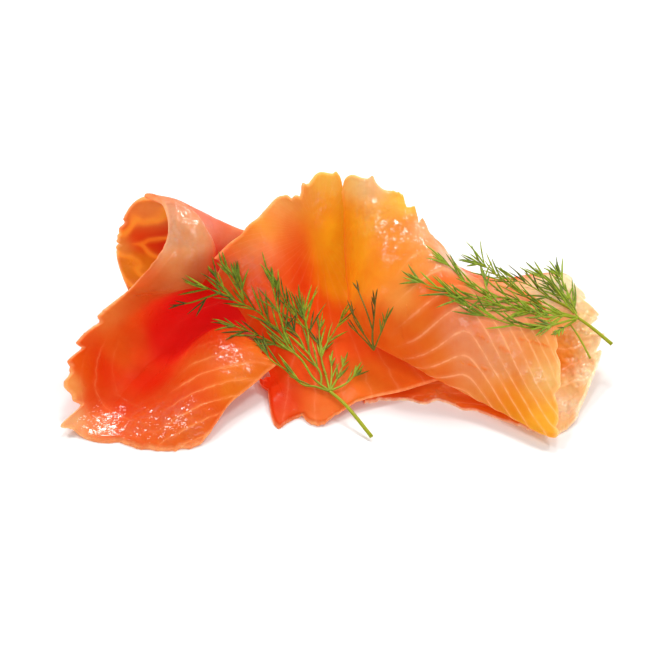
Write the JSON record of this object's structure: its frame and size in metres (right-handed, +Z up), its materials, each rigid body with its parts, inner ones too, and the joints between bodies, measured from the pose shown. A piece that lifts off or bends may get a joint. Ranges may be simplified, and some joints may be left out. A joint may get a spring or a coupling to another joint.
{
  "type": "smoked salmon slices",
  "caption": "Heap of thin folded smoked salmon slices, one curled into a roll with a bowl-shaped lip, with sprigs of dill laid on top.",
  "frame": {"origin": "on the surface that the heap lies on, under the centre of its bounding box", "axes": "+X along the heap from the curled slice to the right-hand slice, +Y from the heap's front to its back, +Z up"},
  "size_m": [0.189, 0.103, 0.0542],
  "materials": {
    "salmon_curled": "wet, glossy, deep orange-red flesh with pale stripes of connective tissue",
    "salmon_centre": "wet, glossy orange flesh with an amber upper part",
    "salmon_right": "wet, glossy peach-orange flesh with pale arched stripes",
    "salmon_under": "wet, glossy orange flesh with a pale rim",
    "dill": "fresh soft green leaf threads and stems",
    "dill_dark": "darker olive green leaf threads"
  },
  "bodies": {
    "root": {"slice_curled": "salmon_curled", "slice_centre": "salmon_centre", "slice_right": "salmon_right", "slice_under": "salmon_under", "dill_left": "dill", "dill_middle": "dill_dark", "dill_right": "dill", "dill_right_small": "dill"}
  },
  "joints": []
}
